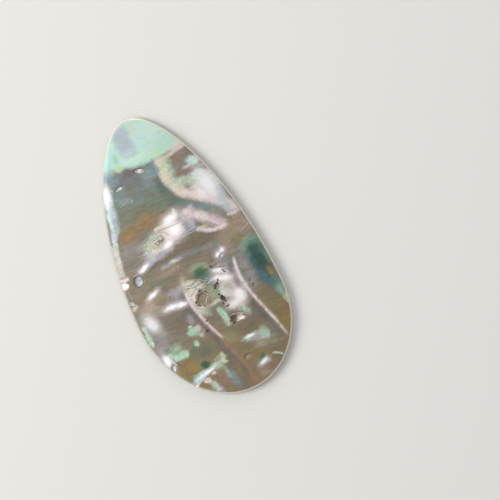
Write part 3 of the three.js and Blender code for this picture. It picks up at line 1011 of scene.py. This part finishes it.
BROAD_END = [
    # faint bands that fan out towards the edge
    Patch("lilac_grey", (-7.6, -36), (1, 2.6), 24, 1.6, 0.6),
    Patch("slate", (-2.7, -35), (1.1, 2.8), 12, 1.6, 0.7),
    Patch("sage_cream", (-3.4, -33), (0.6, 1.8), 10, 1.6, 0.5),
    Patch("rose_tan", (5.4, -36.6), (1.6, 2), -8, 1.6, 0.6),
    Patch("silver", (9.4, -30.4), (2.6, 1), -14, 1.6, 0.5),
    Patch("umber", (11, -32), (2.6, 1.2), -24, 1.6, 0.6),
    Patch("umber", (3.6, -28.6), (2.6, 1.1), 0, 1.6, 0.5),
    Patch("khaki", (0.6, -25), (2.2, 1.4), 0, 1.6, 0.5),
    Patch("sea_dark", (-7.4, -26.4), (3.4, 1.2), 0, 1.6, 0.5),
    Patch("orange", (-0.6, -26), (0.9, 2.2), 8, 1.6, 0.6),
    Patch("rose_tan", (0.6, -29), (0.9, 1.1), 0, 1.6, 0.7),
    Patch("orange", (0.8, -31.8), (1.1, 1.5), 8, 1.6, 0.7),
    Patch("orange", (2.3, -37.2), (0.9, 1.8), 14, 1.6, 0.6),
    Stroke("leaf_mint", [(1.7, -17.2), (2.4, -20)], 0.75, 1.3, 0.9),
    Patch("sage_cream", (2.2, -20.8), (0.9, 1.2), 0, 1.1, 0.8),
    Patch("sage_cream", (7.4, -18.4), (0.7, 1), 20, 1.2, 0.6),
    Patch("leaf_mint", (8, -19.8), (0.9, 1.5), 20, 1.5, 0.65),
    Patch("khaki", (6.9, -19.4), (0.7, 0.9), 0, 1.4, 0.6),
    Patch("silver", (8, -27.8), (2.8, 1.4), -6, 1.2, 0.75),
    Patch("leaf_mint", (10, -27.3), (1.2, 1.4), -10, 1.3, 0.8),
    Patch("leaf_mint", (10.4, -28.6), (0.7, 0.8), -20, 1.2, 0.7),
    Patch("leaf_mint", (5.3, -27.2), (0.6, 0.6), 0, 1, 0.9),
    Patch("pearl", (6.4, -26.6), (1, 0.3), 10, 1.2, 0.7),
    Patch("lilac", (6.8, -27.8), (0.8, 0.6), 0, 1.4, 0.6),
    Patch("russet", (6.4, -29), (1, 0.7), 0, 1.4, 0.5),
    Patch("rose_tan", (11.6, -29.2), (0.7, 0.7), 0, 1.4, 0.5),
    Patch("grey", (12.9, -27.6), (0.8, 2.4), 14, 1.2, 0.8),
    Patch("sage_cream", (-4.6, -29.8), (2, 1.2), 20, 1.3, 0.85),
    Stroke("lime_cream", [(-2.9, -28), (-2.9, -30)], 0.55, 1.3, 0.8),
    Patch("grey", (-4.6, -28.8), (0.9, 0.7), 0, 1.4, 0.7),
    Patch("aqua", (-10.2, -31.2), (2.3, 1), 14, 1.2, 0.9),
    Patch("blue_white", (-11.6, -32.3), (1.6, 0.6), 30, 1, 0.9),
    Patch("rose_cream", (-9.3, -33), (1, 0.8), -10, 0.9, 0.95),
    Patch("rose_cream", (-7, -31.7), (0.6, 0.4), 0, 1.2, 0.8),
    Patch("sage_cream", (-8.2, -34.6), (0.6, 0.9), 30, 1, 0.95),
    Patch("lilac_white", (-7.4, -36.2), (0.7, 0.8), 30, 1.2, 0.8),
    Patch("slate", (-2.4, -35.4), (0.8, 2), 16, 1.4, 0.7),
    Patch("olive", (7.4, -38.2), (1.6, 0.6), 8, 1.4, 0.5),
    Patch("ice", (6.6, -34.4), (1, 0.45), 20, 1.1, 0.9),
    Patch("rose_cream", (7.4, -35), (1, 0.4), 0, 1.4, 0.5),
    Stroke("leaf_mint", [(9.8, -33.6), (10.8, -34), (11.8, -34.7)], 0.26, 1, 0.9),
    Patch("sage", (-8, -28.8), (1.7, 1.4), 14, 0.7, 0.5),
    Patch("deep_leaf", (-8, -28.8), (1.35, 1.1), 14, 0.9, 0.95),
    Patch("olive_grey", (6.9, -33.1), (0.95, 0.65), 0, 0.8, 0.9),
    Patch("deep_leaf", (6.9, -33.1), (0.6, 0.4), 0, 1.2, 0.6),
]

# Painted highlights: where the nacre's sheen catches the light, painted white with a halo.
PAINTED_HIGHLIGHTS = [
    Highlight((8.3, -15.7), (1.2, 1.4), 0, "rose_white"),
    Highlight((6.2, -17), (1.6, 0.5), 8, "rose_white", 0.4),
    Highlight((5.7, -7.3), (1.2, 0.45), -16, "rose_white"),
    Highlight((5.9, -9.6), (2, 0.6), -18, "rose_white"),
    Highlight((7.5, -3.3), (0.7, 0.6), 10),
    Highlight((8.9, -2.7), (0.6, 0.55), 30),
    Highlight((-0.2, 7.6), (1.5, 1.5), 10, "rose_white"),
    Highlight((-0.2, 10.5), (2, 0.9), 20, "rose_white"),
    Highlight((-3.4, 4.6), (1.1, 0.6), 30, "rose_white"),
    Highlight((-12, 1.5), (1.4, 0.5), 24),
    Highlight((-9.8, -11), (1.7, 0.6), 4),
    Highlight((-7, -11.5), (1.3, 0.5), -6),
    Highlight((-13, -6), (1.4, 0.45), 24, "rose_white"),
    Highlight((-16.6, -13), (1, 1.5), 24, "pearl", 0.3),
    Highlight((13, 15), (1.1, 2.8), 10, "pearl", 0.6),
    Highlight((-13.3, 23.2), (0.8, 1.6), -14, "pearl", 0.5),
    Highlight((10.4, 13.2), (0.8, 1.6), 30, "rose_white", 0.4),
    Highlight((6, -26.7), (1.2, 0.3), 6, "ice"),
    Highlight((6.6, -34.5), (1, 0.35), 14, "ice"),
    Highlight((-9, -31), (2.4, 0.3), 14, "ice"),
    Highlight((-17, -23.8), (0.8, 1.5), 14),
]

# Fine bright lines and hairline scratches, and the painted shade and highlight of one crater.
CRISP = [
    Stroke("ochre", [(-15.5, 0.5), (-16.2, -0.6), (-16.3, -1.8), (-15.7, -2.7)], 0.22, 1.3, 0.9),
    Stroke("rose_cream", [(-15.3, 0.7), (-14.4, 0.7)], 0.14, 1.3, 0.9),
    # Painted shade on the upper left of the crater at (5.1, -20.9), and a painted highlight on its lit
    # right side.
    Patch("bark", (4.2, -20.7), (1, 0.9), 0, 1.3, 0.85),
    Patch("ink", (3.7, -21.8), (0.28, 0.24), 0, 1.1, 0.8),
    Patch("ink", (4.6, -20.4), (0.4, 0.22), 30, 1.3, 0.6),
    Patch("white", (6, -21.4), (0.9, 0.4), -10, 1.3, 0.8),
    Stroke("rose_cream", [(3.6, -19.7), (5.4, -19.6), (6.8, -20.4)], 0.12, 1.2, 0.8),
    Stroke("bark", [(-2.6, -11.2), (-1.4, -10.6), (-0.4, -10.9)], 0.14, 1.3, 0.7),
    Stroke("bark", [(-3.6, -8.4), (-2, -8.8), (0.4, -8.4), (2.6, -9.2)], 0.1, 1.4, 0.6),
    Stroke("bark", [(-3.9, -7.6), (-2.4, -7.9), (-0.6, -7.4)], 0.08, 1.4, 0.5),
    Stroke("pearl", [(-3.8, -8), (-2.2, -8.4), (0, -7.9)], 0.1, 1.4, 0.7),
    Stroke("russet", [(4, -5.2), (5.8, -6.4), (7.2, -6.8)], 0.16, 1.3, 0.8),
    Stroke("white", [(-6.6, -30.6), (-9, -31.2)], 0.18, 1, 0.95),
    Stroke("lilac_white", [(-9.6, -31.6), (-12.6, -33.2)], 0.24, 1.2, 0.8),
    Patch("white", (-12.6, -33.3), (0.45, 0.3), 20, 1, 0.9),
    Stroke("sage_cream", [(-9.6, 6.9), (-6.6, 8), (-4.2, 8.3)], 0.11, 1, 0.85),
    Stroke("sage_cream", [(-9.8, 6.4), (-7, 7.4), (-4.8, 7.8)], 0.08, 1, 0.7),
    Stroke("russet", [(-5.6, 9.1), (-1, 8.7), (2, 8.6)], 0.16, 1.4, 0.5),
    Stroke("rose_white", [(0, 8.4), (4, 9), (8, 9.4)], 0.07, 1, 0.55),
    Stroke("rose_white", [(1, 7.9), (5, 8.6), (8.4, 8.7)], 0.06, 1, 0.5),
    Stroke("rose_white", [(1, 4.9), (4.6, 4.9), (7.6, 5.2)], 0.07, 1, 0.6),
    Stroke("rose_white", [(2, 5.5), (5.4, 5.9)], 0.06, 1, 0.5),
    Stroke("silver", [(-11, 18.9), (-9.6, 19.4), (-8, 19.9)], 0.07, 1, 0.6),
    Stroke("silver", [(-7.8, 19.8), (-7.3, 19.4), (-7.5, 18.5)], 0.09, 1, 0.65),
    Stroke("rose_white", [(15.2, -0.6), (18.4, 0.8)], 0.06, 1, 0.55),
    Stroke("rose_white", [(15.6, -1.3), (18.6, -0.2)], 0.05, 1, 0.4),
    Stroke("lilac", [(-8.7, 26.6), (-8.9, 24.2)], 0.06, 1, 0.5),
]


def highlight_marks():
    """The halo and the bright middle of each painted highlight."""
    marks = []
    for place in PAINTED_HIGHLIGHTS:
        wide = tuple(half * spread for half, spread in zip(place.half, HALO_SPREAD))
        marks.append(Patch(place.halo, place.at, wide, place.turn, soft=1.7, strength=0.6))
        marks.append(Patch("white", place.at, place.half, place.turn, soft=1.5, strength=place.strength))
    return marks


def group_mask(nodes, group, inputs):
    """The mask that one use of a mask group gives."""
    return nodes.add("ShaderNodeGroup", inputs, node_tree=group).outputs["Mask"]


def patch_mask(nodes, group, mark, shared):
    angle = math.radians(mark.turn)
    cosine, sine = math.cos(angle), math.sin(angle)
    along = (cosine / mark.half[0], sine / mark.half[0], 0)
    across = (-sine / mark.half[1], cosine / mark.half[1], 0)
    return group_mask(nodes, group, {**shared, "Centre": (*mark.at, 0), "Along": along, "Across": across})


def stroke_mask(nodes, group, mark, shared):
    """A stroke's straight stretches, joined."""
    mask = None
    for start, end in zip(mark.line, mark.line[1:]):
        stretch = {**shared, "From": (*start, 0), "To": (*end, 0), "Width": mark.width}
        new = group_mask(nodes, group, stretch)
        mask = new if mask is None else nodes.math("MAXIMUM", mask, new)
    return mask


def mark_mask(nodes, groups, mark, field):
    half_fade = mark.soft / 2
    shared = {
        "Place": field.place,
        "Ragged": field.ragged,
        "Fray": mark.soft,
        "Outer": 1 + half_fade,
        "Inner": 1 - half_fade,
        "Strength": mark.strength,
    }
    if isinstance(mark, Patch):
        return patch_mask(nodes, groups["patch"], mark, shared)
    return stroke_mask(nodes, groups["stroke"], mark, shared)


def paint(nodes, groups, under, marks, field):
    for mark in marks:
        mask = mark_mask(nodes, groups, mark, field)
        under = nodes.mix(mask, under, colour(mark.colour))
    return under


def new_material(name):
    material = bpy.data.materials.new(name)
    material.use_nodes = True
    tree = material.node_tree
    tree.nodes.clear()
    nodes = Nodes(tree)
    shader = nodes.add("ShaderNodeBsdfPrincipled")
    output = nodes.add("ShaderNodeOutputMaterial")
    tree.links.new(shader.outputs[0], output.inputs["Surface"])
    return material, nodes, shader


def millimetres(nodes, upward=0):
    """Place on the piece in drawn millimetres. Height counts only with upward at 1."""
    place = nodes.add("ShaderNodeTexCoord").outputs["Object"]
    return nodes.vector("MULTIPLY", place, (1 / MM, 1 / MM, upward / MM))


def wandering(nodes, place, amounts):
    """The place, moved by smooth noise. amounts are (scale, how far)."""
    for scale, far in amounts:
        drift = nodes.vector("SUBTRACT", nodes.noise(place, scale, 2.0, "Color"), (0.5, 0.5, 0.5))
        drift = nodes.vector("MULTIPLY", drift, (2 * far, 2 * far, 0))
        place = nodes.vector("ADD", place, drift)
    return place


def frayed(nodes, place, stretch, amount):
    """Fine streaks from about -amount / 2 to amount / 2. stretch is how close they lie in X and Y."""
    streaks = nodes.stretched_noise(place, stretch, 1.0, 4.0)
    return nodes.product(nodes.math("SUBTRACT", streaks, 0.5), 2 * amount)


def clouds(nodes, under, place):
    """Drifting darker and greener places in the brown."""
    dark = nodes.stretched_noise(place, (0.7, 1.2), 0.3, 4.0)
    under = nodes.mix(nodes.fade(dark, 0.5, 0.66, 0.0, 0.5), under, colour("umber"))
    green = nodes.stretched_noise(place, (1.1, 0.8), 0.22, 3.0)
    return nodes.mix(nodes.fade(green, 0.52, 0.7, 0.0, 0.4), under, colour("olive_grey"))


def smoother_tip(nodes, place, least):
    """A share for the grain: 1 over most of the face, and least in the tip, which is smoother."""
    height = nodes.part(place, "Y")
    return nodes.fade(height, 23.0, 29.0, 1.0, least)


def gleam(nodes, under, place):
    """Fine flecks of painted sheen that lighten the bright colours and leave the dark ones alone."""
    bright = nodes.add("ShaderNodeRGBToBW", {0: under}).outputs[0]
    flecks = nodes.stretched_noise(place, (1.6, 0.5), 1.1, 4.0)
    share = nodes.product(nodes.fade(flecks, 0.46, 0.68, 0.0, 0.4), nodes.fade(bright, 0.22, 0.5))
    share = nodes.product(share, smoother_tip(nodes, place, 0.15))
    return nodes.mix(share, under, colour("pearl"))


def silk(nodes, under, place):
    """The fine silky grain of nacre: streaks, drifting hues and the lines of its growth layers."""
    hue = nodes.ramp(
        nodes.stretched_noise(place, (0.8, 1.3), 0.5, 3.0),
        [
            (0.34, "C2DCC4"),
            (0.43, "ECE6D2"),
            (0.50, "F2DEDC"),
            (0.57, "DCE2EC"),
            (0.66, "D2E6CE"),
        ],
    )
    tinted = nodes.mix(0.6, under, hue, "MULTIPLY")
    streaks = nodes.fade(frayed(nodes, place, (0.25, 1.5), 1.0), -0.3, 0.3, 0.0, 0.16)
    wave = nodes.wave(nodes.fact("layers"), 2)
    grain = nodes.sum_of(wave, 0.04, streaks)
    shade = nodes.sum_of(grain, smoother_tip(nodes, place, 0.3), 1.0)
    grey = nodes.add("ShaderNodeCombineXYZ", {0: shade, 1: shade, 2: shade}).outputs[0]
    return nodes.mix(1.0, tinted, grey, "MULTIPLY")


def contours(nodes, under, place):
    """Broken dark and pale lines where a worn place cuts through the layers."""
    worn = nodes.fact("worn")
    wave = nodes.wave(worn, 1)
    inside = nodes.fade(worn, 0.1, 0.6, 0.0, 0.5)
    kept = nodes.product(inside, nodes.fade(nodes.noise(place, 0.9), 0.4, 0.55))
    for start, end, name in ((0.3, 1.0, "pearl"), (-0.4, -1.0, "bark")):
        line = nodes.product(nodes.fade(wave, start, end), kept)
        under = nodes.mix(line, under, colour(name))
    return under


def pits(nodes, groups, under, field):
    """Each pit's wall darkened as painted shade, and the colour of its floor, moved to the lit side as
    painted light.
    """
    pit = nodes.fact("pit")
    shaded_walls = nodes.mix(nodes.fade(pit, 0.04, 0.4, 0.0, 0.7), under, colour("bark"))
    floors = paint(nodes, groups, shaded_walls, pit_marks(), field)
    mottled = nodes.fade(nodes.noise(field.place, 1.6, 4.0), 0.48, 0.62, 0.0, 0.6)
    floors = nodes.mix(mottled, floors, colour("brown"))
    return nodes.mix(nodes.fade(pit, 0.35, 0.9), shaded_walls, floors)


def ridge_light_and_shade(nodes, under, place):
    """Each growth ridge's valley, darkened as painted shadow, and its crest, lightened as painted
    highlight.
    """
    height = nodes.part(place, "Y")
    vary = nodes.fade(nodes.noise(place, 0.5), 0.35, 0.55, 0.5, 0.95)
    for index, ridge in enumerate(RIDGES):
        valley = nodes.product(nodes.fact(f"valley_{index}"), 0.7)
        under = nodes.mix(valley, under, colour("dim_violet"))
        lower = nodes.fade(height, ridge.change + 1, ridge.change - 1)
        crest = nodes.mix(lower, colour(ridge.upper), colour(ridge.lower))
        share = nodes.product(nodes.fact(f"crest_{index}"), vary)
        under = nodes.mix(share, under, crest)
    return under


def rim_light_line(nodes, under, place):
    """A painted bright line of light along the polished edge, weaker on the rounder left side."""
    side = nodes.part(place, "X")
    share = nodes.fade(nodes.fact("rim"), 0.55, 0.25)
    share = nodes.product(share, nodes.fade(side, -16.0, -4.0, 0.25, 0.85))
    return nodes.mix(share, under, colour("rim_light_gold"))


def face_material():
    material, nodes, shader = new_material("polished_nacre")
    groups = mask_groups()
    place = millimetres(nodes)
    level = frayed(nodes, place, (0.4, 1.5), 0.55)
    upright = frayed(nodes, place, (1.5, 0.4), 0.35)
    broad = wandering(nodes, place, [(0.2, 1.4), (0.8, 0.6), (2.5, 0.2)])
    close = wandering(nodes, place, [(0.45, 0.45), (1.6, 0.28), (4.5, 0.1)])
    exact = wandering(nodes, place, [(0.6, 0.1), (1.5, 0.06), (4, 0.03)])
    under = paint(nodes, groups, colour(GROUND), FIELDS, Field(broad, level))
    under = clouds(nodes, under, place)
    for marks in (TIP_COLOUR_AND_SHEEN, RIGHT_FLANK):
        under = paint(nodes, groups, under, marks, Field(close, 0.0))
    for marks in (LEFT_EDGE_SHEEN, TEAL_SPOT):
        under = paint(nodes, groups, under, marks, Field(close, upright))
    for marks in (UPPER_MIDDLE, MIDDLE, WORN_UPPER, LEFT_MIDDLE, BROAD_END):
        under = paint(nodes, groups, under, marks, Field(close, level))
    under = contours(nodes, under, place)
    # painted shadow in each ridge's valley and painted highlight on its crest
    under = ridge_light_and_shade(nodes, under, place)
    under = gleam(nodes, under, place)
    under = silk(nodes, under, place)
    # painted highlights of the nacre's sheen, laid over the grain
    under = paint(nodes, groups, under, highlight_marks(), Field(close, 0.0))
    # painted shade in each pit, and its floor's colour on the lit side
    under = pits(nodes, groups, under, Field(exact, 0.0))
    under = paint(nodes, groups, under, CRISP, Field(exact, 0.0))
    # painted line of light along the polished edge
    under = rim_light_line(nodes, under, place)
    grain = frayed(nodes, place, (0.9, 2.2), 1.0)
    looks = {
        "Base Color": under,
        "Roughness": nodes.fade(grain, -0.3, 0.3, 0.34, 0.44),
        "Normal": nodes.bump(grain, strength=0.3, depth=0.01),
        "Metallic": 0.15,
        "Coat Weight": 0.7,
        "Coat Roughness": 0.07,
    }
    nodes.give(shader, looks)
    return material


def edge_material():
    """The cut edge: thin layers of nacre and brown shell, one above the other."""
    material, nodes, shader = new_material("cut_edge")
    place = wandering(nodes, millimetres(nodes, 1), [(0.3, 0.5), (1.5, 0.08)])
    height = nodes.part(place, "Z")
    drift = nodes.noise(place, 0.25, 3.0)
    layer = nodes.math("ADD", nodes.product(height, 0.42), nodes.product(drift, 0.5))
    body = nodes.ramp(
        layer,
        [
            (0.15, "B9B4A4"),
            (0.35, "8C7C66"),
            (0.50, "C6CCBE"),
            (0.66, "CDBFC0"),
            (0.82, "A9B8AE"),
            (1.00, "DDD8CC"),
        ],
    )
    wave = nodes.wave(height, 7)
    lines = nodes.fade(wave, 0.2, 1.0, 0.0, 0.4)
    looks = {
        "Base Color": nodes.mix(lines, body, colour("umber")),
        "Roughness": nodes.fade(nodes.noise(place, 2.0, 3.0), 0.3, 0.7, 0.3, 0.5),
        "Normal": nodes.bump(wave, strength=0.5, depth=0.03),
        "Coat Weight": 0.4,
        "Coat Roughness": 0.15,
    }
    nodes.give(shader, looks)
    return material


def hollow_material():
    """The underside: smooth silvery nacre in the hollow, and a dull ground border round it."""
    material, nodes, shader = new_material("hollow_nacre")
    flat = millimetres(nodes)
    place = wandering(nodes, flat, [(0.06, 5.0), (0.25, 1.2)])
    nacre = nodes.ramp(
        nodes.stretched_noise(place, (0.6, 1), 0.11, 3.0),
        [
            (0.30, "AEBDBB"),
            (0.40, "CFDDD0"),
            (0.47, "E0DCD6"),
            (0.54, "DCCBD0"),
            (0.61, "BFCDD6"),
            (0.70, "D3E0CB"),
        ],
    )
    wave = nodes.wave(nodes.fact("layers"), 1)
    lines = nodes.fade(wave, 0.0, 1.0, 0.0, 0.08)
    nacre = nodes.mix(lines, nacre, colour("grey"))
    pale = nodes.fade(nodes.noise(flat, 0.7, 5.0), 0.5, 0.75, 0.0, 0.5)
    nacre = nodes.mix(pale, nacre, colour("pearl"))
    specks = nodes.noise(flat, 3.5, 5.0)
    ground = nodes.ramp(specks, [(0.3, "8B8272"), (0.55, "B4AC9C"), (0.75, "CFC9BC")])
    border = nodes.fade(nodes.fact("rim"), BORDER + HOLLOW_STEP, BORDER - 0.1)
    looks = {
        "Base Color": nodes.mix(border, nacre, ground),
        "Roughness": nodes.fade(border, 0.0, 1.0, 0.3, 0.7),
        "Coat Weight": nodes.fade(border, 1.0, 0.0, 0.0, 0.6),
        "Normal": nodes.bump(specks, strength=0.4, depth=0.04),
        "Metallic": 0.15,
        "Coat Roughness": 0.12,
    }
    nodes.give(shader, looks)
    return material


# ---------------------------------------------------------------------------------------------
# The piece
# ---------------------------------------------------------------------------------------------

shell = bpy.data.objects.new("abalone_shell_polished", shell_mesh())
bpy.context.scene.collection.objects.link(shell)
for make_material in (face_material, edge_material, hollow_material):
    shell.data.materials.append(make_material())
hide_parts(NODE)
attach(shell, "root")

# ---------------------------------------------------------------------------------------------
# Floor, light and camera
# ---------------------------------------------------------------------------------------------


FLOOR = 8  # metres, from its middle to each side


def add_floor():
    mesh = bpy.data.meshes.new("floor")
    corners = [(-FLOOR, -FLOOR, 0), (FLOOR, -FLOOR, 0), (FLOOR, FLOOR, 0), (-FLOOR, FLOOR, 0)]
    mesh.from_pydata(corners, [], [(0, 1, 2, 3)])
    floor = bpy.data.objects.new("floor", mesh)
    bpy.context.scene.collection.objects.link(floor)
    material, nodes, shader = new_material("pale_floor")
    nodes.give(shader, {"Base Color": colour("DEDCD8"), "Roughness": 0.9})
    mesh.materials.append(material)


def add_light(name, place, size, watts, mirrored=True):
    """A round soft light, placed in metres from the piece's middle.

    One that isn't mirrored lights the piece but doesn't show in its polish.
    """
    lamp = bpy.data.lights.new(name, "AREA")
    lamp.shape = "DISK"
    lamp.size = size
    lamp.energy = watts
    light = bpy.data.objects.new(name, lamp)
    light.visible_glossy = mirrored
    light.location = CENTRE + Vector(place)
    light.rotation_euler = (-Vector(place)).to_track_quat("-Z", "Y").to_euler()
    bpy.context.scene.collection.objects.link(light)


def add_world():
    world = bpy.data.worlds.new("studio")
    world.use_nodes = True
    background = world.node_tree.nodes["Background"]
    background.inputs["Color"].default_value = (1, 1, 1, 1)
    background.inputs["Strength"].default_value = 0.55
    bpy.context.scene.world = world


VIEW_TURN = math.radians(-25)  # the piece's long axis leans this far in the picture
VIEW_WIDTH = 134.2  # of the picture, at the piece
LENS = 180
SENSOR = 36
AIM = (15.7, -6)  # where the camera looks straight down


def add_camera():
    lens = bpy.data.cameras.new("camera")
    lens.lens = LENS
    lens.sensor_width = SENSOR
    camera = bpy.data.objects.new("camera", lens)
    distance = VIEW_WIDTH * LENS / SENSOR
    camera.location = (AIM[0] * MM, AIM[1] * MM, (distance + EDGE) * MM)
    camera.rotation_euler = (0, 0, VIEW_TURN)
    bpy.context.scene.collection.objects.link(camera)
    bpy.context.scene.camera = camera


add_floor()
add_light("key", place=(-0.6, 0.3, 0.62), size=0.5, watts=5.2, mirrored=False)
add_light("low_left", place=(-0.9, 0.35, 0.4), size=0.6, watts=1.8)
add_light("beyond_tip", place=(0.3, 0.85, 0.45), size=0.5, watts=1.8)
add_world()
add_camera()
bpy.context.scene.view_settings.view_transform = "Standard"
